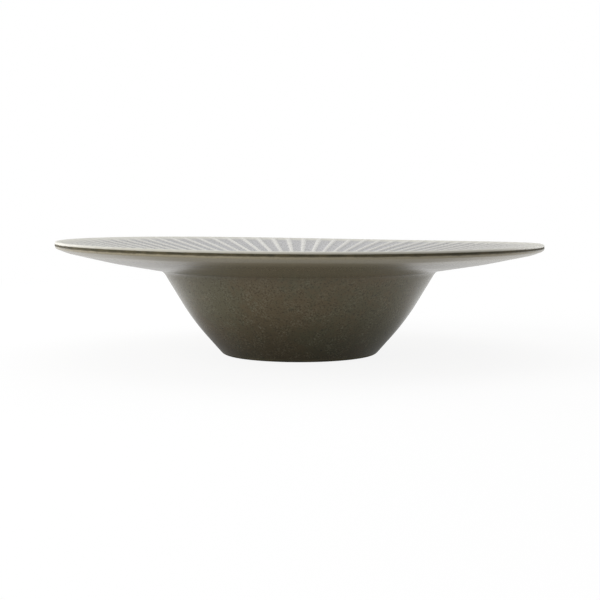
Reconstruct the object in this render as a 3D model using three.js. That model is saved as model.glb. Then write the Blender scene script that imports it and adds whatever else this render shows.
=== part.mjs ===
// A deep pasta plate: a small deep well under a broad rim whose upper face is fluted into radial ribs.
// One fired stoneware body carries three coats of glaze: inside, outside and under the foot.
// Millimetres, +Z up, with the origin at the middle of the plane that the plate stands on.
import * as THREE from "three";
import { toCreasedNormals } from "three/addons/utils/BufferGeometryUtils.js";

// Overall sizes, over the glaze
const rimDiameter = 280;
const plateHeight = 64;

// Rim and lip
const rimSlope = THREE.MathUtils.degToRad(9);
const rimRootThickness = 6;
const undersideBulge = 0.7;
const lipThickness = 3.8;
const lipTopRadius = 1.25;
const lipUnderRadius = 1.8;
const lipBevelWidth = 6;
const lipBevelRise = 0.8;

// Ribs: narrow crests in the plane of the rim, with a flute between each two
const ribCount = 80;
const ribFlankShare = 0.27;
const fluteDepth = 0.9;
const fluteRunOutAtLip = 4;
const fluteRunOutAtWell = 7;
const smoothBeforeWell = 2.5;

// Well
const wellDiameter = 158;
const wallThickness = 4.6;
const wallBulge = 2.4;
const wallBulgePlaceShare = 0.56;
const wallBulgeRadius = 140;
const undersideBulgeRadius = 120;
const underRimRadius = 6;
const shoulderRadius = 9;
const floorThickness = 6;
const floorDish = 0.8;
const wellBottomRadius = 18;

// Foot
const footDiameter = 90;
const footEdgeRadius = 4.8;
const standingRingWidth = 5.5;
const standingRingInnerRadius = 1;
const recessDepth = 2.5;
const recessFlare = 2.5;
const recessCornerRadius = 2;

// Glaze
const glazeThickness = 0.4;
const glazePooling = 0.2;

// Facets
const rimFacets = ribCount;
const wellFacets = Math.round(ribCount / 2);
const tightArcSteps = 3;
const openArcSteps = 2;
const creaseAngle = THREE.MathUtils.degToRad(35);
const longestTangentShare = 0.45;

const rimRadius = rimDiameter / 2;
const footRadius = footDiameter / 2;

// A point of the section, with its distance from the axis and its height.
function at(radius, height) {
  return new THREE.Vector2(radius, height);
}

// The point on the line between two others, pushed square to it, to the right-hand side.
function bulged(from, to, share, bulge) {
  const along = to.clone().sub(from).normalize();
  return from.clone().lerp(to, share).add(at(along.y, -along.x).multiplyScalar(bulge));
}

// Where the line through a and b crosses the line through c and d.
function crossing(a, b, c, d) {
  const ab = b.clone().sub(a);
  const cd = d.clone().sub(c);
  const share = c.clone().sub(a).cross(cd) / ab.cross(cd);
  return a.clone().addScaledVector(ab, share);
}

// The arc that rounds a corner of the section, held to its share of the shorter side.
function rounded(before, corner, after, radius, steps) {
  const back = before.clone().sub(corner);
  const ahead = after.clone().sub(corner);
  const halfAngle = Math.acos(back.dot(ahead) / (back.length() * ahead.length())) / 2;
  const shorterSide = Math.min(back.length(), ahead.length());
  const tangent = Math.min(radius / Math.tan(halfAngle), longestTangentShare * shorterSide);
  const trueRadius = tangent * Math.tan(halfAngle);
  const start = corner.clone().add(back.setLength(tangent));
  const end = corner.clone().add(ahead.setLength(tangent));
  const toCentre = start.clone().add(end).multiplyScalar(1 / 2).sub(corner);
  const centre = corner.clone().add(toCentre.setLength(trueRadius / Math.sin(halfAngle)));
  const turn = Math.PI - 2 * halfAngle;
  const side = Math.sign(start.clone().sub(centre).cross(end.clone().sub(centre)));
  return Array.from({ length: steps + 1 }, (_, step) =>
    start.clone().rotateAround(centre, (side * turn * step) / steps),
  );
}

// A station of the section: its point, how many facets go round there, and how deep the flutes are.
function station(point, facets, fluteShare = 0) {
  return { point, facets, fluteShare };
}

function stations(points, facets) {
  return points.map((point) => station(point, facets));
}

// The corners of the section, before they are rounded
const lipTopCorner = at(
  rimRadius,
  plateHeight + lipTopRadius * (1 / Math.cos(rimSlope) + Math.tan(rimSlope) - 1),
);
const lipUnderCorner = at(rimRadius, plateHeight - lipThickness);

function heightOnRim(radius) {
  return lipTopCorner.y - (rimRadius - radius) * Math.tan(rimSlope);
}

const underRimCorner = at(wellDiameter / 2, heightOnRim(wellDiameter / 2) - rimRootThickness);
const undersideMiddle = bulged(underRimCorner, lipUnderCorner, 1 / 2, undersideBulge);
const outerUnderside = undersideMiddle.distanceTo(lipUnderCorner);
const lipBevelStart = lipUnderCorner.clone().lerp(undersideMiddle, lipBevelWidth / outerUnderside);
const lipBevelEnd = at(rimRadius, lipUnderCorner.y + lipBevelRise);
const footCorner = at(footRadius, 0);
const wallMiddle = bulged(footCorner, underRimCorner, 1 - wallBulgePlaceShare, wallBulge);
const ringInnerCorner = at(footRadius - standingRingWidth, 0);
const recessCorner = at(ringInnerCorner.x - recessFlare, recessDepth);

const rimLine = [lipTopCorner, at(0, heightOnRim(0))];
const upperWallLine = inset(wallMiddle, underRimCorner);
const lowerWallLine = inset(footCorner, wallMiddle);
const floorHeight = recessDepth + floorThickness;
const floorEdgeLine = [at(0, floorHeight + floorDish), at(footRadius, floorHeight + floorDish)];
const shoulderCorner = crossing(...rimLine, ...upperWallLine);
const wellMiddle = crossing(...upperWallLine, ...lowerWallLine);
const wellBottomCorner = crossing(...lowerWallLine, ...floorEdgeLine);

// A line of the outside wall, moved through to the inside of the well.
function inset(lower, upper) {
  return [bulged(lower, upper, 0, -wallThickness), bulged(lower, upper, 1, -wallThickness)];
}

// Under the foot, from the axis to where the glaze was wiped off
function underFootStretch() {
  const axisPoint = at(0, recessDepth);
  const corner = rounded(axisPoint, recessCorner, ringInnerCorner, recessCornerRadius, openArcSteps);
  return stations([axisPoint, ...corner], wellFacets);
}

// The bare standing ring
function standingRingStretch() {
  const inner = rounded(
    recessCorner,
    ringInnerCorner,
    footCorner,
    standingRingInnerRadius,
    openArcSteps,
  );
  const outer = rounded(ringInnerCorner, footCorner, wallMiddle, footEdgeRadius, tightArcSteps);
  return stations([...inner, ...outer.slice(0, -1)], wellFacets);
}

// Outside, from the foot up the wall and out under the rim to the bare line round the lip
function outsideStretch() {
  const footEdge = rounded(ringInnerCorner, footCorner, wallMiddle, footEdgeRadius, tightArcSteps);
  const wall = rounded(footCorner, wallMiddle, underRimCorner, wallBulgeRadius, tightArcSteps);
  const underRim = rounded(
    wallMiddle,
    underRimCorner,
    undersideMiddle,
    underRimRadius,
    tightArcSteps,
  );
  const underside = rounded(
    underRimCorner,
    undersideMiddle,
    lipBevelStart,
    undersideBulgeRadius,
    openArcSteps,
  );
  const lip = rounded(lipBevelStart, lipBevelEnd, lipTopCorner, lipUnderRadius, tightArcSteps);
  return [
    ...stations([footEdge.at(-1), ...wall, ...underRim], wellFacets),
    ...stations([...underside, lipBevelStart, ...lip], rimFacets),
  ];
}

// Inside, from the bare line over the lip, along the ribs and down the well to the axis
function insideStretch() {
  const lip = rounded(lipBevelEnd, lipTopCorner, shoulderCorner, lipTopRadius, tightArcSteps);
  const shoulder = rounded(
    lipTopCorner,
    shoulderCorner,
    wellMiddle,
    shoulderRadius,
    tightArcSteps,
  );
  const wall = rounded(
    shoulderCorner,
    wellMiddle,
    wellBottomCorner,
    wallBulgeRadius - wallThickness,
    openArcSteps,
  );
  const floorMiddle = at(0, floorHeight);
  const bottom = rounded(
    wellMiddle,
    wellBottomCorner,
    floorMiddle,
    wellBottomRadius,
    tightArcSteps,
  );
  return [
    ...stations(lip, rimFacets),
    ...ribStations(lip.at(-1).x, shoulder[0].x + smoothBeforeWell),
    ...stations(shoulder.slice(0, 1), rimFacets),
    ...stations([...shoulder.slice(1), ...wall, ...bottom, floorMiddle], wellFacets),
  ];
}

// The fluted stretch of the rim: the flutes run out to nothing at the lip and before the well.
function ribStations(outerEnd, innerEnd) {
  const onRim = (radius, share) => station(at(radius, heightOnRim(radius)), rimFacets, share);
  return [
    onRim(outerEnd - fluteRunOutAtLip, 1),
    onRim(innerEnd + fluteRunOutAtWell, 1),
    onRim(innerEnd, 0),
  ];
}

// The clay under a stretch's glaze: it lies a coat deeper, and comes up to the surface where the
// stretch ends, except on the axis.
function clayUnder(stretch) {
  return stretch.map((here, index) => {
    const before = stretch[index - 1] ?? here;
    const after = stretch[index + 1] ?? here;
    const onAxis = here.point.x === 0;
    const isBareEdge = (before === here || after === here) && !onAxis;
    if (isBareEdge) return here;
    const along = after.point.clone().sub(before.point).normalize();
    const inwards = onAxis ? at(0, along.x) : at(-along.y, along.x);
    const point = here.point.clone().addScaledVector(inwards, glazeThickness);
    return { ...here, point, pooling: glazePooling };
  });
}

// The points of a station's ring, in order of their angle. A ring on the axis is a single point.
function ringOf({ point, facets, fluteShare, pooling = 0 }) {
  const onRing = (turn, height) =>
    new THREE.Vector3(point.x, 0, height).applyAxisAngle(
      new THREE.Vector3(0, 0, 1),
      turn * 2 * Math.PI,
    );
  if (point.x === 0) return [{ turn: 0, position: onRing(0, point.y) }];
  const ring = [];
  for (let facet = 0; facet < facets; facet += 1) {
    ring.push({ turn: facet / facets, position: onRing(facet / facets, point.y) });
    if (fluteShare === 0) continue;
    const valley = point.y - (fluteDepth + pooling) * fluteShare;
    for (const share of [ribFlankShare, 1 - ribFlankShare]) {
      const turn = (facet + share) / facets;
      ring.push({ turn, position: onRing(turn, valley) });
    }
  }
  return ring;
}

// How far round the ring the middle of its next edge lies, in turns
function nextMiddle(ring, index) {
  if (ring.length === 1 || index === ring.length) return Infinity;
  const nextTurn = index + 1 < ring.length ? ring[index + 1].turn : 1;
  return (ring[index].turn + nextTurn) / 2;
}

// The triangles between two rings, walked round together in order of angle
function stitch(lower, upper) {
  const triangles = [];
  const pick = (ring, index) => ring[index % ring.length].position;
  let low = 0;
  let high = 0;
  while (Math.min(nextMiddle(lower, low), nextMiddle(upper, high)) < Infinity) {
    if (nextMiddle(lower, low) < nextMiddle(upper, high)) {
      triangles.push([pick(lower, low), pick(lower, low + 1), pick(upper, high)]);
      low += 1;
    } else {
      triangles.push([pick(lower, low), pick(upper, high + 1), pick(upper, high)]);
      high += 1;
    }
  }
  return triangles;
}

// The skin through a run of stations, facing out where the section goes round anticlockwise.
function skin(run) {
  const rings = run.map(ringOf);
  return rings.slice(1).flatMap((ring, index) => stitch(rings[index], ring));
}

// A coat of glaze: the stretch's own surface, backed by the surface of the clay under it.
function coat(stretch) {
  const back = skin(clayUnder(stretch)).map(([a, b, c]) => [a, c, b]);
  return [...skin(stretch), ...back];
}

function solid(name, triangles, material) {
  const corners = triangles.flat().flatMap((corner) => corner.toArray());
  const geometry = new THREE.BufferGeometry();
  geometry.setAttribute("position", new THREE.Float32BufferAttribute(corners, 3));
  const mesh = new THREE.Mesh(toCreasedNormals(geometry, creaseAngle), material);
  mesh.name = name;
  return mesh;
}

// Dark fired clay, matt where it shows at the standing ring and along the lip
function clay() {
  return new THREE.MeshStandardMaterial({ color: 0x4b4233, roughness: 0.85, metalness: 0 });
}

// Grey glaze with a soft shine, on the rim's upper face and in the well
function greyGlaze() {
  return new THREE.MeshStandardMaterial({ color: 0x8f8d85, roughness: 0.35, metalness: 0 });
}

// Brown-olive glaze with a soft shine, on the outside
function oliveGlaze() {
  return new THREE.MeshStandardMaterial({ color: 0x5d5546, roughness: 0.35, metalness: 0 });
}

function body() {
  const section = [
    ...clayUnder(underFootStretch()),
    ...standingRingStretch(),
    ...clayUnder(outsideStretch()),
    ...clayUnder(insideStretch()),
  ];
  return solid("stoneware_body", skin(section), clay());
}

const plate = new THREE.Group();
plate.name = "pasta_plate";
plate.add(body());
plate.add(solid("glaze_inside", coat(insideStretch()), greyGlaze()));
plate.add(solid("glaze_outside", coat(outsideStretch()), oliveGlaze()));
plate.add(solid("glaze_under_foot", coat(underFootStretch()), oliveGlaze()));

export default plate;
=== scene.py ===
# The looks of a deep pasta plate: a fine body of dark stoneware with three coats of glaze, and its studio.
# Metres, +Z up, with the origin at the middle of the plane that the plate stands on.
import math
from collections import namedtuple

import bpy
from mathutils import Matrix, Vector


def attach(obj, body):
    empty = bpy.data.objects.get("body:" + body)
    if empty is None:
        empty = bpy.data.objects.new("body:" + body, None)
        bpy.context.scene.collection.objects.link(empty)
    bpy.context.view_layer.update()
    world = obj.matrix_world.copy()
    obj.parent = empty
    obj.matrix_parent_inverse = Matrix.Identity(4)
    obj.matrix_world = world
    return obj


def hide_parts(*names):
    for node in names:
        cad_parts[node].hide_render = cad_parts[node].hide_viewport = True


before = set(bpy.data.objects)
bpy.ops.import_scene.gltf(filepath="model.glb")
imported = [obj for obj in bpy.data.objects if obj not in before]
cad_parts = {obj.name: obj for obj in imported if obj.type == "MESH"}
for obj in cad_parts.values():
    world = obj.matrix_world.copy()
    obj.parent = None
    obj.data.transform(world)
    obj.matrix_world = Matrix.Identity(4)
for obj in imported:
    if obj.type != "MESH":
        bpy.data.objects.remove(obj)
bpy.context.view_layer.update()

MM = 0.001

# Overall sizes, over the glaze
RIM_RADIUS = 139.3 * MM
PLATE_HEIGHT = 64 * MM

# Rim and lip, and how far the inside glaze comes down over the lip's edge
RIM_SLOPE = math.radians(9)
RIM_ROOT_THICKNESS = 6 * MM
UNDERSIDE_BULGE = 0.7 * MM
LIP_THICKNESS = 4.6 * MM
LIP_TOP_RADIUS = 1.25 * MM
LIP_UNDER_RADIUS = 1.8 * MM
LIP_BEVEL_WIDTH = 6 * MM
LIP_BEVEL_RISE = 1 * MM
LIP_BEVEL_RADIUS = 25 * MM
GLAZE_OVER_LIP = 0.12 * MM

# Ribs: narrow crests in the plane of the rim, with a flute between each two
RIB_COUNT = 80
CREST_SHARE = 0.05
FLANK_SHARE = 0.25
FLUTE_DEPTH = 0.9 * MM
FLUTE_RUN_OUT_AT_LIP = 4 * MM
FLUTE_RUN_OUT_AT_WELL = 7 * MM
SMOOTH_BEFORE_WELL = 2.5 * MM
PALE_BAND_BY_WELL = 11 * MM
RIB_UNEVENNESS = 0.1
RIB_SEED = 7

# Well
WELL_RADIUS = 79 * MM
WALL_THICKNESS = 4.6 * MM
WALL_BULGE = 2.7 * MM
WALL_BULGE_PLACE = 0.56
WALL_BULGE_RADIUS = 140 * MM
UNDERSIDE_BULGE_RADIUS = 120 * MM
UNDER_RIM_RADIUS = 6 * MM
SHOULDER_RADIUS = 9 * MM
FLOOR_THICKNESS = 6 * MM
FLOOR_DISH = 0.8 * MM
WELL_BOTTOM_RADIUS = 18 * MM

# Foot
FOOT_RADIUS = 44.4 * MM
FOOT_EDGE_RADIUS = 4 * MM
STANDING_RING_WIDTH = 5.5 * MM
STANDING_RING_INNER_RADIUS = 1 * MM
RECESS_DEPTH = 2.5 * MM
RECESS_FLARE = 2.5 * MM
RECESS_CORNER_RADIUS = 2 * MM

# Glaze
GLAZE_THICKNESS = 0.4 * MM
GLAZE_POOLING = 0.2 * MM
GLAZE_TAPER = 1.5 * MM

# How the kiln warped the rim: how high all round and in waves, and which way round from +X each
# wave stands highest
WARP_BEGINS = 78 * MM
LIFT = 0.29 * MM
TILT = 1.59 * MM
TILT_BEARING = math.radians(-135.6)
SADDLE = 0.68 * MM
SADDLE_BEARING = math.radians(-17.5)
RIPPLE = 0.18 * MM
RIPPLE_BEARING = math.radians(-2.1)

# How finely the pieces are turned
FACETS_PER_RIB = 10
BODY_FACETS_PER_RIB = 8
PLAIN_FACETS_PER_RIB = 6
FACET_CROWDING = 0.5
ARC_STEPS = 8
RIM_ROWS = 20
FLOOR_ROWS = 3
MERGE_WITHIN = 0.001 * MM
CREASE_ANGLE = math.radians(35)
LONGEST_TANGENT_SHARE = 0.45

# Farther from the bare clay than any point of the glaze
FAR = 1.0

# Colours, as linear light
CREST_CREAM = (0.57, 0.56, 0.52, 1)
FLUTE_GREY = (0.308, 0.305, 0.311, 1)
WELL_OLIVE_GREY = (0.150, 0.142, 0.118, 1)
# Painted highlight: the white band along the rim by the lip
LIP_HIGHLIGHT_WHITE = (0.60, 0.59, 0.53, 1)
LIP_CREAM = (0.35, 0.325, 0.255, 1)
WALL_BROWN = (0.180, 0.138, 0.074, 1)
WALL_GREEN = (0.161, 0.144, 0.082, 1)
# Painted light: a lighter olive under the rim, against the shade there
UNDERSIDE_PAINTED_LIGHT_OLIVE = (0.208, 0.175, 0.110, 1)
# Painted shade: the darker brown and green toward the foot
PAINTED_SHADE_FOOT_BROWN = (0.036, 0.025, 0.007, 1)
PAINTED_SHADE_FOOT_GREEN = (0.027, 0.024, 0.006, 1)
# Painted light: the lighter olive band under the lip, where its face catches the front light; the clay's
# grit takes this colour too
PAINTED_LIP_LIGHT_AND_CLAY_GRIT_OLIVE = (0.390, 0.340, 0.228, 1)
PALE_SPECK = (0.300, 0.285, 0.205, 1)
DARK_SPECK = (0.022, 0.018, 0.012, 1)
CLAY_BROWN = (0.085, 0.070, 0.036, 1)
CLAY_DARK = (0.038, 0.034, 0.018, 1)
FLOOR_PALE = (0.12, 0.12, 0.12, 1)
WHITE = (1, 1, 1, 1)
BLACK = (0, 0, 0, 1)

# Heights over which one colour goes over to the next, and how far the painted shade at the foot drifts
WELL_FADE = (45 * MM, 53 * MM)
FOOT_SHADE_FADE = (-6 * MM, 46 * MM)
FOOT_SHADE_DRIFT = 16 * MM

# Distances from the axis over which one colour goes over to the next, among them the painted highlight
# along the lip and the painted light under the rim and the lip
LIP_HIGHLIGHT_FADE = (RIM_RADIUS - 9 * MM, RIM_RADIUS - 2 * MM)
UNDERSIDE_LIGHT_FADE = (70 * MM, 98 * MM)
LIP_LIGHT_FADE = (118 * MM, 137 * MM)
WALL_MOTTLE_FADE = (76 * MM, 84 * MM)

# How large the clouds, lumps and grit are, how far apart the specks, and how wide the broken edges
GREY_CLOUD_GRAIN = 14 * MM
GREY_MOTTLE_GRAIN = 1.1 * MM
GREY_SPECK_SPACING = 3 * MM
GREY_BROKEN_EDGE = 0.3 * MM
OLIVE_CLOUD_GRAIN = 38 * MM
OLIVE_TINT_GRAIN = 3 * MM
OLIVE_DRIFT_GRAIN = 60 * MM
OLIVE_CLUSTER_GRAIN = 7 * MM
OLIVE_MOTTLE_GRAIN = 1 * MM
OLIVE_SPECK_SPACING = 6 * MM
OLIVE_BROKEN_EDGE = 0.8 * MM
RAGGED_GRAIN = 5 * MM
CLAY_CLOUD_GRAIN = 6 * MM
CLAY_GRIT_GRAIN = 0.5 * MM

# How deep the surfaces are uneven, and how strongly they mirror
GREY_RELIEF = 0.006 * MM
OLIVE_RELIEF = 0.02 * MM
CLAY_RELIEF = 0.08 * MM
GREY_SPECULAR = 0.5
OLIVE_SPECULAR = 0.35
CLAY_SPECULAR = 0.3

# Studio: the light from all round, a hair's gap under the foot, how far from the plate the floor
# shows its shadow, how much light it gives from below, and how much darker, as a painted shadow,
# the glaze mirrors it at the foot
AMBIENT = 0.5
FLOOR_HALF_SIDE = 6.0
FLOOR_GAP = 0.2 * MM
SHADOW_REACH = 0.35
FLOOR_GLOW = 0.265
MIRRORED_SHADE = 0.75

# The camera: where it stands, what it looks at, and its lens and sensor in millimetres
CAMERA_PLACE = Vector((15.83, -719.83, 88.89)) * MM
CAMERA_TARGET = Vector((0.22, 0, 30.87)) * MM
CAMERA_LENS = 74.5
CAMERA_SENSOR = 36

# A point of the section: its place, whether it is fluted, whether clay lies there under glaze, and
# how far it is from the bare clay.
Station = namedtuple("Station", "point fluted under_glaze from_edge")


# The section


def at(radius, height):
    """A point of the section, by its distance from the axis and its height."""
    return Vector((radius, height))


def bulged(start, end, share, bulge):
    """The point on the line between two others, pushed square to it, to the right-hand side."""
    along = (end - start).normalized()
    return start.lerp(end, share) + at(along.y, -along.x) * bulge


def crossing(a, b, c, d):
    """Where the line through a and b crosses the line through c and d."""
    ab = b - a
    cd = d - c
    ac = c - a
    share = (ac.x * cd.y - ac.y * cd.x) / (ab.x * cd.y - ab.y * cd.x)
    return a + ab * share


def rounded(before, corner, after, radius, steps=ARC_STEPS):
    """The arc that rounds a corner of the section, held to its share of the shorter side."""
    back = before - corner
    ahead = after - corner
    half_angle = back.angle(ahead) / 2
    shorter = min(back.length, ahead.length)
    tangent = min(radius / math.tan(half_angle), LONGEST_TANGENT_SHARE * shorter)
    to_centre = (back.normalized() + ahead.normalized()).normalized()
    centre = corner + to_centre * (tangent / math.cos(half_angle))
    start = corner + back.normalized() * tangent - centre
    left_turn = back.x * ahead.y - back.y * ahead.x < 0
    turn = (math.pi - 2 * half_angle) * (1 if left_turn else -1)
    return [centre + Matrix.Rotation(turn * step / steps, 2) @ start for step in range(steps + 1)]


def straight(start, end, rows):
    """The points between two others, with neither of them."""
    return [start.lerp(end, row / rows) for row in range(1, rows)]


def inset(lower, upper):
    """A line of the outside wall, moved through to the inside of the well."""
    return [bulged(lower, upper, 0, -WALL_THICKNESS), bulged(lower, upper, 1, -WALL_THICKNESS)]


def height_on_rim(radius):
    return LIP_TOP_CORNER.y - (RIM_RADIUS - radius) * math.tan(RIM_SLOPE)


# The corners of the section, before they are rounded
LIP_TOP_RISE = LIP_TOP_RADIUS * (1 / math.cos(RIM_SLOPE) + math.tan(RIM_SLOPE) - 1)
LIP_TOP_CORNER = at(RIM_RADIUS, PLATE_HEIGHT + LIP_TOP_RISE)
LIP_UNDER_CORNER = at(RIM_RADIUS, PLATE_HEIGHT - LIP_THICKNESS)
UNDER_RIM_CORNER = at(WELL_RADIUS, height_on_rim(WELL_RADIUS) - RIM_ROOT_THICKNESS)
UNDERSIDE_MIDDLE = bulged(UNDER_RIM_CORNER, LIP_UNDER_CORNER, 1 / 2, UNDERSIDE_BULGE)
OUTER_UNDERSIDE = (UNDERSIDE_MIDDLE - LIP_UNDER_CORNER).length
LIP_BEVEL_START = LIP_UNDER_CORNER.lerp(UNDERSIDE_MIDDLE, LIP_BEVEL_WIDTH / OUTER_UNDERSIDE)
LIP_BEVEL_END = at(RIM_RADIUS, LIP_UNDER_CORNER.y + LIP_BEVEL_RISE)
FOOT_CORNER = at(FOOT_RADIUS, 0)
WALL_MIDDLE = bulged(FOOT_CORNER, UNDER_RIM_CORNER, 1 - WALL_BULGE_PLACE, WALL_BULGE)
RING_INNER_CORNER = at(FOOT_RADIUS - STANDING_RING_WIDTH, 0)
RECESS_CORNER = at(RING_INNER_CORNER.x - RECESS_FLARE, RECESS_DEPTH)
FLOOR_MIDDLE = at(0, RECESS_DEPTH + FLOOR_THICKNESS)
FLOOR_EDGE = FLOOR_MIDDLE + at(0, FLOOR_DISH)
UPPER_WALL_LINE = inset(WALL_MIDDLE, UNDER_RIM_CORNER)
LOWER_WALL_LINE = inset(FOOT_CORNER, WALL_MIDDLE)
SHOULDER_CORNER = crossing(LIP_TOP_CORNER, at(0, height_on_rim(0)), *UPPER_WALL_LINE)
WELL_MIDDLE = crossing(*UPPER_WALL_LINE, *LOWER_WALL_LINE)
WELL_BOTTOM_CORNER = crossing(*LOWER_WALL_LINE, FLOOR_EDGE, at(FOOT_RADIUS, FLOOR_EDGE.y))


def under_foot_points():
    """Under the foot, from the axis to where the glaze was wiped off."""
    axis_point = at(0, RECESS_DEPTH)
    corner = rounded(axis_point, RECESS_CORNER, RING_INNER_CORNER, RECESS_CORNER_RADIUS)
    return [axis_point, *straight(axis_point, corner[0], FLOOR_ROWS), *corner]


def foot_edge_points():
    return rounded(RING_INNER_CORNER, FOOT_CORNER, WALL_MIDDLE, FOOT_EDGE_RADIUS)


def standing_ring_points():
    """The bare standing ring, up to where the outside glaze begins."""
    inner = rounded(RECESS_CORNER, RING_INNER_CORNER, FOOT_CORNER, STANDING_RING_INNER_RADIUS)
    return [*inner, *foot_edge_points()]


def outside_points():
    """Outside, from the foot up the wall and out under the rim to the bare line round the lip."""
    wall = rounded(FOOT_CORNER, WALL_MIDDLE, UNDER_RIM_CORNER, WALL_BULGE_RADIUS)
    under_rim = rounded(WALL_MIDDLE, UNDER_RIM_CORNER, UNDERSIDE_MIDDLE, UNDER_RIM_RADIUS)
    underside = rounded(UNDER_RIM_CORNER, UNDERSIDE_MIDDLE, LIP_BEVEL_START, UNDERSIDE_BULGE_RADIUS)
    bevel = rounded(UNDERSIDE_MIDDLE, LIP_BEVEL_START, LIP_BEVEL_END, LIP_BEVEL_RADIUS)
    lip = rounded(LIP_BEVEL_START, LIP_BEVEL_END, LIP_TOP_CORNER, LIP_UNDER_RADIUS)
    return [
        foot_edge_points()[-1],
        *wall,
        *under_rim,
        *straight(under_rim[-1], underside[0], 3),
        *underside,
        *straight(underside[-1], bevel[0], 3),
        *bevel,
        *lip,
    ]


def lip_top_points():
    return rounded(LIP_BEVEL_END, LIP_TOP_CORNER, SHOULDER_CORNER, LIP_TOP_RADIUS)


def shoulder_points():
    return rounded(LIP_TOP_CORNER, SHOULDER_CORNER, WELL_MIDDLE, SHOULDER_RADIUS)


def inside_points():
    """Inside, from the bare line over the lip, along the ribs and down the well to the axis."""
    lip = lip_top_points()
    shoulder = shoulder_points()
    wall_radius = WALL_BULGE_RADIUS - WALL_THICKNESS
    wall = rounded(SHOULDER_CORNER, WELL_MIDDLE, WELL_BOTTOM_CORNER, wall_radius)
    bottom = rounded(WELL_MIDDLE, WELL_BOTTOM_CORNER, FLOOR_MIDDLE, WELL_BOTTOM_RADIUS)
    return [
        lip[0] - at(0, GLAZE_OVER_LIP),
        *lip,
        *straight(lip[-1], shoulder[0], RIM_ROWS),
        *shoulder,
        *wall,
        *bottom,
        *straight(bottom[-1], FLOOR_MIDDLE, FLOOR_ROWS),
        FLOOR_MIDDLE,
    ]


def stations(points, fluted=0):
    """Stations along a glazed stretch, which is bare at each end that isn't on the axis."""
    reach = [0]
    for before, here in zip(points, points[1:]):
        reach.append(reach[-1] + (here - before).length)
    whole = reach[-1]
    from_start = [FAR if points[0].x == 0 else length for length in reach]
    from_end = [FAR if points[-1].x == 0 else whole - length for length in reach]
    return [
        Station(point, fluted, 0, min(first, last))
        for point, first, last in zip(points, from_start, from_end)
    ]


def clay_under(stretch):
    """The clay under a stretch's glaze, which comes up to the surface where the clay is bare."""
    clay = []
    for index, here in enumerate(stretch):
        before = stretch[max(index - 1, 0)].point
        after = stretch[min(index + 1, len(stretch) - 1)].point
        along = (after - before).normalized()
        on_axis = here.point.x == 0
        inwards = at(0, along.x) if on_axis else at(-along.y, along.x)
        depth = GLAZE_THICKNESS * min(here.from_edge / GLAZE_TAPER, 1)
        clay.append(here._replace(point=here.point + inwards * depth, under_glaze=1))
    return clay


def coat(stretch):
    """The closed section of a coat of glaze: its own face, backed by the clay's."""
    return [*stretch, *reversed(clay_under(stretch))]


def body_section():
    ring = [Station(point, 0, 0, 0) for point in standing_ring_points()]
    return [
        *clay_under(stations(under_foot_points())),
        *ring,
        *clay_under(stations(outside_points())),
        *clay_under(stations(inside_points(), fluted=1)),
    ]


# Node trees


def feed(tree, socket, value):
    """Joins a socket to a value on its way through the tree, or sets it to a plain one."""
    if isinstance(value, Field):
        tree.links.new(value.socket, socket)
    else:
        socket.default_value = value


def make(tree, kind, inputs=None, **settings):
    """A node with its settings, and its inputs by name or number."""
    node = tree.nodes.new(kind)
    for name, value in settings.items():
        setattr(node, name, value)
    for key, value in (inputs or {}).items():
        feed(tree, node.inputs[key], value)
    return node


class Field:
    """A value on its way through a node tree, which formulas can be written with."""

    def __init__(self, tree, socket):
        self.tree = tree
        self.socket = socket

    def maths(self, operation, *others):
        node = make(self.tree, "ShaderNodeMath", operation=operation)
        for socket, value in zip(node.inputs, (self, *others)):
            feed(self.tree, socket, value)
        return Field(self.tree, node.outputs[0])

    def __add__(self, other):
        return self.maths("ADD", other)

    def __sub__(self, other):
        return self.maths("SUBTRACT", other)

    def __rsub__(self, other):
        return (self * -1) + other

    def __mul__(self, other):
        return self.maths("MULTIPLY", other)

    def __truediv__(self, other):
        return self.maths("DIVIDE", other)

    def rising(self, low, high, smooth=True):
        """From 0 where the value is low to 1 where it is high."""
        node = make(
            self.tree,
            "ShaderNodeMapRange",
            {"Value": self, "From Min": low, "From Max": high},
            interpolation_type="SMOOTHSTEP" if smooth else "LINEAR",
        )
        return Field(self.tree, node.outputs[0])


def output_of(tree, kind, output=0, inputs=None, **settings):
    """What a new node gives."""
    return Field(tree, make(tree, kind, inputs, **settings).outputs[output])


# The turning tree

SOCKET_KINDS = {int: "NodeSocketInt", float: "NodeSocketFloat"}


def turning_inputs():
    """The sizes that the turning tree is given, by name."""
    return {
        "Facets per Rib": FACETS_PER_RIB,
        "Rib Count": RIB_COUNT,
        "Crest Share": CREST_SHARE,
        "Flank Share": FLANK_SHARE,
        "Flute Depth": FLUTE_DEPTH,
        "Pooling": GLAZE_POOLING,
        "Ribs Begin": shoulder_points()[0].x + SMOOTH_BEFORE_WELL,
        "Ribs End": lip_top_points()[-1].x,
        "Run-out at Well": FLUTE_RUN_OUT_AT_WELL,
        "Pale Band": PALE_BAND_BY_WELL,
        "Run-out at Lip": FLUTE_RUN_OUT_AT_LIP,
        "Unevenness": RIB_UNEVENNESS,
        "Seed": RIB_SEED,
        "Rim Radius": RIM_RADIUS,
        "Lip Edge": inside_points()[0].y,
        "Lip Top": PLATE_HEIGHT,
        "Warp Begins": WARP_BEGINS,
        "Lift": LIFT,
        "Tilt": TILT,
        "Tilt Bearing": TILT_BEARING,
        "Saddle": SADDLE,
        "Saddle Bearing": SADDLE_BEARING,
        "Ripple": RIPPLE,
        "Ripple Bearing": RIPPLE_BEARING,
    }


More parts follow.
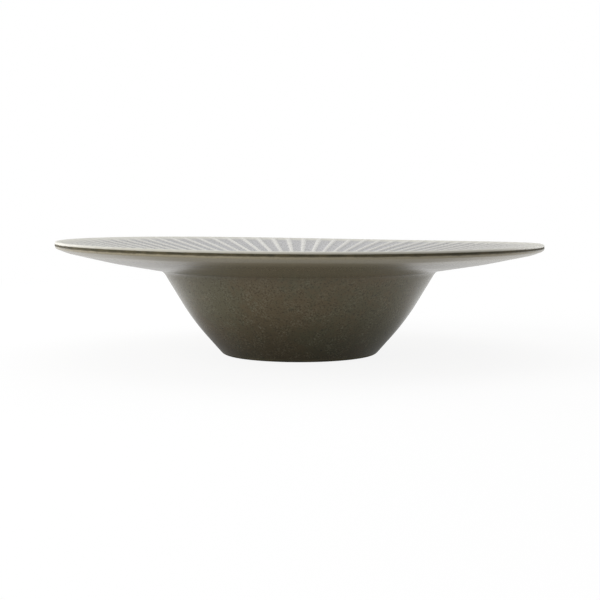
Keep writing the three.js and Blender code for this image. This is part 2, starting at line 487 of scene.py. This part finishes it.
def turning_tree():
    """Turns a section into a round piece, sinks the flutes between the ribs and warps the rim."""
    tree = bpy.data.node_groups.new("turning", "GeometryNodeTree")
    tree.interface.new_socket("Section", in_out="INPUT", socket_type="NodeSocketGeometry")
    for name, value in turning_inputs().items():
        tree.interface.new_socket(name, in_out="INPUT", socket_type=SOCKET_KINDS[type(value)])
    tree.interface.new_socket("Glaze or Clay", in_out="INPUT", socket_type="NodeSocketMaterial")
    tree.interface.new_socket("Piece", in_out="OUTPUT", socket_type="NodeSocketGeometry")
    given = make(tree, "NodeGroupInput")
    size = {socket.name: Field(tree, socket) for socket in given.outputs if socket.name}

    facets = size["Facets per Rib"] * size["Rib Count"]
    columns = facets + 1
    rows = output_of(
        tree, "GeometryNodeAttributeDomainSize", 0, {0: size["Section"]}, component="MESH"
    )
    grid = output_of(tree, "GeometryNodeMeshGrid", 0, {"Vertices X": rows, "Vertices Y": columns})
    index = output_of(tree, "GeometryNodeInputIndex")
    row = (index / columns).maths("FLOOR")
    column = index - row * columns

    place = output_of(tree, "GeometryNodeInputPosition")
    station = on_section(tree, size, place, row, "FLOAT_VECTOR")
    split = make(tree, "ShaderNodeSeparateXYZ", {0: station})
    radius = Field(tree, split.outputs[0])
    height = Field(tree, split.outputs[2])
    fluted = on_section(tree, size, named(tree, "fluted"), row)
    under_glaze = on_section(tree, size, named(tree, "under_glaze"), row)
    from_edge = on_section(tree, size, named(tree, "from_edge"), row)

    rib, share = place_on_rib(column, size)
    angle = (rib + share) / size["Rib Count"] * math.tau
    valley = valley_shape(tree, size, rib, share)
    run = flute_run(size, radius)
    depth = (size["Flute Depth"] + size["Pooling"] * under_glaze) * valley * run * fluted
    lift = warp(size, radius, angle)
    spot = output_of(
        tree,
        "ShaderNodeCombineXYZ",
        0,
        {
            0: radius * angle.maths("COSINE"),
            1: radius * angle.maths("SINE"),
            2: height - depth + lift,
        },
    )
    past_well = radius.rising(size["Ribs Begin"] - size["Run-out at Well"], size["Ribs Begin"])
    near_well = 1 - radius.rising(size["Ribs Begin"], size["Ribs Begin"] + size["Pale Band"])
    paleness = past_well * (1 - valley * run).maths("MAXIMUM", near_well)
    past_crown = radius.maths("GREATER_THAN", size["Ribs End"])
    over_lip = (1 - height.rising(size["Lip Edge"], size["Lip Top"], smooth=False)) * past_crown

    piece = output_of(tree, "GeometryNodeSetPosition", 0, {"Geometry": grid, "Position": spot})
    piece = stored(tree, piece, "paleness", paleness)
    piece = stored(tree, piece, "over_lip", over_lip)
    piece = stored(tree, piece, "from_edge", from_edge)
    piece = closed(tree, piece)
    piece = output_of(tree, "GeometryNodeRealizeInstances", 0, {0: piece})
    piece = output_of(
        tree, "GeometryNodeSetMaterial", 0, {"Geometry": piece, "Material": size["Glaze or Clay"]}
    )
    result = make(tree, "NodeGroupOutput")
    feed(tree, result.inputs[0], piece)
    return tree


def named(tree, name):
    """A value that the section's points carry."""
    return output_of(
        tree, "GeometryNodeInputNamedAttribute", 0, {"Name": name}, data_type="FLOAT"
    )


def on_section(tree, size, value, row, data_type="FLOAT"):
    """A value at the section's point that a row of the piece is turned from."""
    inputs = {"Geometry": size["Section"], "Value": value, "Index": row}
    return output_of(
        tree, "GeometryNodeSampleIndex", 0, inputs, data_type=data_type, domain="POINT"
    )


def place_on_rib(column, size):
    """Which rib a column follows, and its share of the way to the next, crowded at the crests."""
    rib = (column / size["Facets per Rib"]).maths("FLOOR")
    even = column / size["Facets per Rib"] - rib
    crowding = (even * math.tau).maths("SINE") * (FACET_CROWDING / math.tau)
    return rib, even - crowding


def valley_shape(tree, size, rib, share):
    """0 on the crest and 1 in the flute, a little uneven from flute to flute."""
    least = 1 - size["Unevenness"]
    uneven = output_of(
        tree,
        "FunctionNodeRandomValue",
        1,
        {2: least, 3: 1.0, "ID": rib, "Seed": size["Seed"]},
        data_type="FLOAT",
    )
    from_crest = share.maths("MINIMUM", 1 - share)
    return from_crest.rising(size["Crest Share"], size["Flank Share"] * uneven) * uneven


def flute_run(size, radius):
    """How deep the flutes are along the rim: they run out to nothing at both ends."""
    inner = radius.rising(size["Ribs Begin"], size["Ribs Begin"] + size["Run-out at Well"])
    outer = radius.rising(size["Ribs End"] - size["Run-out at Lip"], size["Ribs End"])
    return inner * (1 - outer)


def warp(size, radius, angle):
    """How far the kiln lifted the rim."""
    reach = radius.rising(size["Warp Begins"], size["Rim Radius"], smooth=False)
    waves = wave(angle, 1, size["Tilt"], size["Tilt Bearing"]) + size["Lift"]
    waves = waves + wave(angle, 2, size["Saddle"], size["Saddle Bearing"])
    waves = waves + wave(angle, 3, size["Ripple"], size["Ripple Bearing"])
    return waves * reach * radius / size["Rim Radius"]


def wave(angle, count, height, bearing):
    return ((angle - bearing) * count).maths("COSINE") * height


def stored(tree, piece, name, value):
    """The piece with a value kept on its points, for its glaze to read."""
    return output_of(
        tree,
        "GeometryNodeStoreNamedAttribute",
        0,
        {"Geometry": piece, "Name": name, "Value": value},
        data_type="FLOAT",
        domain="POINT",
    )


def closed(tree, piece):
    """The piece with its seam and poles closed, facing out, smooth and with no stray edge."""
    piece = output_of(
        tree, "GeometryNodeMergeByDistance", 0, {"Geometry": piece, "Distance": MERGE_WITHIN}
    )
    faces = output_of(tree, "GeometryNodeInputMeshEdgeNeighbors")
    stray = faces.maths("LESS_THAN", 0.5)
    piece = output_of(
        tree,
        "GeometryNodeDeleteGeometry",
        0,
        {"Geometry": piece, "Selection": stray},
        domain="EDGE",
        mode="EDGE_FACE",
    )
    piece = output_of(tree, "GeometryNodeFlipFaces", 0, {0: piece})
    return output_of(tree, "GeometryNodeSetShadeSmooth", 0, {"Geometry": piece})


def turned(tree, name, section, material, facets_per_rib=FACETS_PER_RIB):
    """A finished piece, turned from its section."""
    blank = bpy.data.meshes.new(name + "_section")
    blank.from_pydata([(here.point.x, 0, here.point.y) for here in section], [], [])
    for field in ("fluted", "under_glaze", "from_edge"):
        kept = blank.attributes.new(field, "FLOAT", "POINT")
        kept.data.foreach_set("value", [getattr(here, field) for here in section])
    piece = bpy.data.objects.new(name, blank)
    bpy.context.collection.objects.link(piece)
    modifier = piece.modifiers.new("turning", "NODES")
    modifier.node_group = tree
    values = turning_inputs()
    values["Facets per Rib"] = facets_per_rib
    values["Glaze or Clay"] = material
    for socket in tree.interface.items_tree:
        if socket.name in values:
            modifier[socket.identifier] = values[socket.name]
    ready = piece.evaluated_get(bpy.context.evaluated_depsgraph_get())
    mesh = bpy.data.meshes.new_from_object(ready)
    piece.modifiers.clear()
    piece.data = mesh
    mesh.name = name
    mesh.set_sharp_from_angle(angle=CREASE_ANGLE)
    return piece


# Glazes and clay


def empty_material(name):
    material = bpy.data.materials.new(name)
    material.use_nodes = True
    material.node_tree.nodes.clear()
    return material, material.node_tree


def object_place(tree):
    return output_of(tree, "ShaderNodeTexCoord", "Object")


def noise(tree, place, grain, detail=2.0, roughness=0.5):
    """Cloudy noise from 0 to 1, whose lumps are about one grain across."""
    inputs = {"Vector": place, "Scale": 1 / grain, "Detail": detail, "Roughness": roughness}
    return output_of(tree, "ShaderNodeTexNoise", 0, inputs)


def specks(tree, place, spacing, size_share, kept_share):
    """Round specks: one in each cell that is kept, soft at its edge."""
    node = make(
        tree,
        "ShaderNodeTexVoronoi",
        {"Vector": place, "Scale": 1 / spacing},
        voronoi_dimensions="3D",
    )
    distance = Field(tree, node.outputs["Distance"])
    lot = make(tree, "ShaderNodeSeparateColor", {0: Field(tree, node.outputs["Color"])})
    kept = Field(tree, lot.outputs[0]).maths("LESS_THAN", kept_share)
    big = Field(tree, lot.outputs[1]) * size_share + size_share * 0.4
    return (1 - distance.rising(big * 0.5, big)) * kept


def attribute(tree, name):
    return output_of(tree, "ShaderNodeAttribute", "Fac", attribute_name=name)


def height_of(tree, place):
    return Field(tree, make(tree, "ShaderNodeSeparateXYZ", {0: place}).outputs[2])


def radius_of(tree, place):
    """How far a place is from the axis."""
    flat = output_of(
        tree, "ShaderNodeVectorMath", 0, {0: place, 1: (1, 1, 0)}, operation="MULTIPLY"
    )
    return output_of(tree, "ShaderNodeVectorMath", "Value", {0: flat}, operation="LENGTH")


def shaken(tree, place, grain, reach):
    """Places pushed about at random, which makes round specks irregular."""
    cloud = make(tree, "ShaderNodeTexNoise", {"Vector": place, "Scale": 1 / grain})
    inputs = {0: Field(tree, cloud.outputs["Color"]), 1: (0.5, 0.5, 0.5)}
    push = output_of(tree, "ShaderNodeVectorMath", 0, inputs, operation="SUBTRACT")
    inputs = {0: push, 1: (reach, reach, reach), 2: place}
    return output_of(tree, "ShaderNodeVectorMath", 0, inputs, operation="MULTIPLY_ADD")


def blended(tree, share, first, second):
    """The first colour, going over to the second by the share."""
    return output_of(
        tree, "ShaderNodeMix", 2, {0: share, 6: first, 7: second}, data_type="RGBA"
    )


def bumped(tree, height, depth):
    """The surface's direction, with a relief of that depth."""
    inputs = {"Height": height, "Distance": depth, "Strength": 1.0}
    return output_of(tree, "ShaderNodeBump", 0, inputs)


def finished(tree, colour, roughness, relief, specular):
    """Closes a material with its surface."""
    surface = output_of(
        tree,
        "ShaderNodeBsdfPrincipled",
        0,
        {
            "Base Color": colour,
            "Roughness": roughness,
            "Normal": relief,
            "Specular IOR Level": specular,
        },
    )
    make(tree, "ShaderNodeOutputMaterial", {"Surface": surface})


def grey_glaze():
    """Grey satin glaze, which breaks cream where it runs thin over the ribs and the lip, with a painted
    highlight along the lip.
    """
    material, tree = empty_material("grey_satin_glaze")
    place = object_place(tree)
    paleness = attribute(tree, "paleness")
    over_lip = attribute(tree, "over_lip")
    height = height_of(tree, place)
    cloud = noise(tree, place, GREY_CLOUD_GRAIN, 3.0)
    mottle = noise(tree, place, GREY_MOTTLE_GRAIN, 3.0, 0.6)
    in_well = 1 - height.rising(*WELL_FADE)
    deep = blended(tree, cloud.rising(0.35, 0.7) * 0.15, FLUTE_GREY, WELL_OLIVE_GREY)
    deep = blended(tree, in_well, deep, WELL_OLIVE_GREY)
    broken = (paleness + (mottle - 0.5) * 0.08).rising(-0.05, 0.92)
    colour = blended(tree, broken, deep, CREST_CREAM)
    # Painted highlight: a white band along the rim near the lip
    near_lip = radius_of(tree, place).rising(*LIP_HIGHLIGHT_FADE)
    colour = blended(tree, near_lip, colour, LIP_HIGHLIGHT_WHITE)
    colour = blended(tree, over_lip, colour, LIP_CREAM)
    dark = specks(tree, shaken(tree, place, 0.8 * MM, 0.5 * MM), GREY_SPECK_SPACING, 0.12, 0.4)
    colour = blended(tree, dark * 0.5, colour, WELL_OLIVE_GREY)
    colour = broken_edge(tree, place, colour, GREY_BROKEN_EDGE)
    roughness = mottle * 0.08 + near_lip * 0.18 + 0.24
    relief = bumped(tree, mottle - dark * 0.5, GREY_RELIEF)
    finished(tree, colour, roughness, relief, GREY_SPECULAR)
    return material


def olive_glaze():
    """Brown and olive satin glaze, mottled and specked, with painted light under the rim and the lip and
    painted shade darkening it toward the foot.
    """
    material, tree = empty_material("olive_satin_glaze")
    place = object_place(tree)
    height = height_of(tree, place)
    radius = radius_of(tree, place)
    cloud = noise(tree, place, OLIVE_CLOUD_GRAIN, 3.0, 0.55)
    tint = noise(tree, place, OLIVE_TINT_GRAIN, 2.0)
    drift = noise(tree, place, OLIVE_DRIFT_GRAIN, 2.0)
    cluster = noise(tree, place, OLIVE_CLUSTER_GRAIN, 2.0).rising(0.4, 0.65)
    mottle = noise(tree, shaken(tree, place, 2 * MM, 1 * MM), OLIVE_MOTTLE_GRAIN, 3.0, 0.65)
    green = (cloud + (tint - 0.5) * 0.4).rising(0.4, 0.64)
    colour = blended(tree, green, WALL_BROWN, WALL_GREEN)
    # Painted shade: darker toward the foot, with a drifting edge, and fewer pale specks there
    low = 1 - (height + (drift - 0.5) * FOOT_SHADE_DRIFT).rising(*FOOT_SHADE_FADE)
    colour = blended(tree, low, colour, blended(tree, green, PAINTED_SHADE_FOOT_BROWN, PAINTED_SHADE_FOOT_GREEN))
    # Painted light: lighter under the rim, and lighter still under the lip
    colour = blended(tree, radius.rising(*UNDERSIDE_LIGHT_FADE), colour, UNDERSIDE_PAINTED_LIGHT_OLIVE)
    colour = blended(tree, radius.rising(*LIP_LIGHT_FADE), colour, PAINTED_LIP_LIGHT_AND_CLAY_GRIT_OLIVE)
    on_wall = 1 - radius.rising(*WALL_MOTTLE_FADE) * 0.7
    raised = mottle.rising(0.5, 0.64) * cluster * on_wall * (1 - low * 0.6)
    colour = blended(tree, raised * 0.45, colour, PALE_SPECK)
    sunk = (1 - mottle.rising(0.36, 0.47)) * on_wall
    colour = blended(tree, sunk * 0.5, colour, DARK_SPECK)
    dark = specks(tree, shaken(tree, place, 0.9 * MM, 0.7 * MM), OLIVE_SPECK_SPACING, 0.1, 0.4)
    colour = blended(tree, dark * on_wall * 0.9, colour, DARK_SPECK)
    colour = broken_edge(tree, place, colour, OLIVE_BROKEN_EDGE)
    roughness = mottle * 0.08 + 0.19
    relief = bumped(tree, mottle - dark * 0.6, OLIVE_RELIEF)
    finished(tree, colour, roughness, relief, OLIVE_SPECULAR)
    return material


def broken_edge(tree, place, colour, reach):
    """The colour, going over to the clay's where the glaze gives out raggedly at its edge."""
    ragged = noise(tree, place, RAGGED_GRAIN, 3.0)
    from_edge = attribute(tree, "from_edge") + (ragged - 0.5) * reach
    return blended(tree, from_edge.rising(0, reach), CLAY_BROWN, colour)


def bare_clay():
    """Dark fired clay, matt and gritty."""
    material, tree = empty_material("bare_clay")
    place = object_place(tree)
    cloud = noise(tree, place, CLAY_CLOUD_GRAIN, 3.0)
    grit = noise(tree, place, CLAY_GRIT_GRAIN, 3.0, 0.7)
    colour = blended(tree, cloud.rising(0.3, 0.7), CLAY_DARK, CLAY_BROWN)
    colour = blended(tree, grit.rising(0.55, 0.8) * 0.35, colour, PAINTED_LIP_LIGHT_AND_CLAY_GRIT_OLIVE)
    roughness = grit * 0.15 + 0.75
    finished(tree, colour, roughness, bumped(tree, grit, CLAY_RELIEF), CLAY_SPECULAR)
    return material


# Studio


def is_ray(tree, kind):
    """1 for rays of a kind, and 0 for the others."""
    return output_of(tree, "ShaderNodeLightPath", f"Is {kind} Ray")


def seen(tree):
    """1 for what the camera, a reflection or a clear piece looks at, and 0 for light on its way."""
    kinds = ("Camera", "Glossy", "Transmission")
    camera_ray, mirrored, through = (is_ray(tree, kind) for kind in kinds)
    return camera_ray.maths("MAXIMUM", mirrored).maths("MAXIMUM", through)


def backdrop():
    """White all round, which lights the plate at a lower level."""
    world = bpy.data.worlds.new("backdrop")
    bpy.context.scene.world = world
    world.use_nodes = True
    tree = world.node_tree
    tree.nodes.clear()
    strength = seen(tree) * (1 - AMBIENT) + AMBIENT
    surface = output_of(tree, "ShaderNodeBackground", 0, {"Color": WHITE, "Strength": strength})
    make(tree, "ShaderNodeOutputWorld", {"Surface": surface})


def floor():
    """A pale floor, which looks white and keeps the plate's shadow."""
    mesh = bpy.data.meshes.new("floor")
    corners = [(-1, -1), (1, -1), (1, 1), (-1, 1)]
    places = [(x * FLOOR_HALF_SIDE, y * FLOOR_HALF_SIDE, -FLOOR_GAP) for x, y in corners]
    mesh.from_pydata(places, [], [(0, 1, 2, 3)])
    piece = bpy.data.objects.new("floor", mesh)
    bpy.context.collection.objects.link(piece)
    mesh.materials.append(floor_paint())


def floor_paint():
    """Pale matt paint near the plate, which goes over to plain white light far from it, and whose
    reflections carry a painted shadow under the plate.
    """
    material, tree = empty_material("floor_paint")
    inputs = {0: object_place(tree)}
    away = output_of(tree, "ShaderNodeVectorMath", "Value", inputs, operation="LENGTH")
    far = away.rising(SHADOW_REACH, 2 * SHADOW_REACH)
    paint = output_of(
        tree, "ShaderNodeBsdfDiffuse", 0, {"Color": blended(tree, far, FLOOR_PALE, BLACK)}
    )
    looked_at = seen(tree)
    # Painted shadow: the floor mirrored darker under the plate, darkest at the foot
    under_plate = (1 - away.rising(FOOT_RADIUS, RIM_RADIUS)) * is_ray(tree, "Glossy")
    white = (1 - under_plate * MIRRORED_SHADE) * (1 - FLOOR_PALE[0])
    strength = far * FLOOR_PALE[0] + looked_at * white + (1 - looked_at) * FLOOR_GLOW
    glow = output_of(tree, "ShaderNodeEmission", 0, {"Color": WHITE, "Strength": strength})
    surface = output_of(tree, "ShaderNodeAddShader", 0, {0: paint, 1: glow})
    make(tree, "ShaderNodeOutputMaterial", {"Surface": surface})
    return material


def softbox(name, bearing, elevation, distance, side, brightness):
    """A square lamp that faces the plate. Bearing 0 is behind the camera and 180 behind the plate."""
    data = bpy.data.lights.new(name, "AREA")
    data.size = side
    data.energy = brightness * math.pi * side * side
    turn = math.radians(bearing)
    rise = math.radians(elevation)
    towards = Vector(
        (math.sin(turn) * math.cos(rise), -math.cos(turn) * math.cos(rise), math.sin(rise))
    )
    lamp = bpy.data.objects.new(name, data)
    lamp.location = towards * distance
    lamp.rotation_mode = "QUATERNION"
    lamp.rotation_quaternion = towards.to_track_quat("Z", "Y")
    lamp.visible_camera = False
    bpy.context.collection.objects.link(lamp)


def camera():
    data = bpy.data.cameras.new("camera")
    data.lens = CAMERA_LENS
    data.sensor_width = CAMERA_SENSOR
    data.clip_start = 0.01
    data.clip_end = 100
    eye = bpy.data.objects.new("camera", data)
    eye.location = CAMERA_PLACE
    eye.rotation_mode = "QUATERNION"
    eye.rotation_quaternion = (CAMERA_TARGET - CAMERA_PLACE).to_track_quat("-Z", "Y")
    bpy.context.collection.objects.link(eye)
    bpy.context.scene.camera = eye


# The plate and its studio


def plate():
    """The body and its three coats, each in the place of its CAD node."""
    tree = turning_tree()
    grey = grey_glaze()
    olive = olive_glaze()
    plain = PLAIN_FACETS_PER_RIB
    body = turned(tree, "plate_body", body_section(), bare_clay(), BODY_FACETS_PER_RIB)
    inside = turned(tree, "inside_glaze", coat(stations(inside_points(), fluted=1)), grey)
    outside = turned(tree, "outside_glaze", coat(stations(outside_points())), olive, plain)
    under_foot = turned(tree, "foot_glaze", coat(stations(under_foot_points())), olive, plain)
    for piece, node, slot in (
        (body, "stoneware_body", "clay"),
        (inside, "glaze_inside", "grey_glaze"),
        (outside, "glaze_outside", "olive_glaze"),
        (under_foot, "glaze_under_foot", "olive_glaze"),
    ):
        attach(piece, "root")
        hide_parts(node)


bpy.context.scene.view_settings.view_transform = "Standard"
camera()
plate()
backdrop()
floor()
softbox("top_softbox", bearing=180, elevation=80, distance=1.6, side=1.6, brightness=0.6)
softbox("left_softbox", bearing=-125, elevation=12, distance=1.2, side=0.8, brightness=3.2)
softbox("right_softbox", bearing=125, elevation=12, distance=1.2, side=0.8, brightness=2.8)
softbox("front_softbox", bearing=-60, elevation=25, distance=1.4, side=1.0, brightness=3.7)
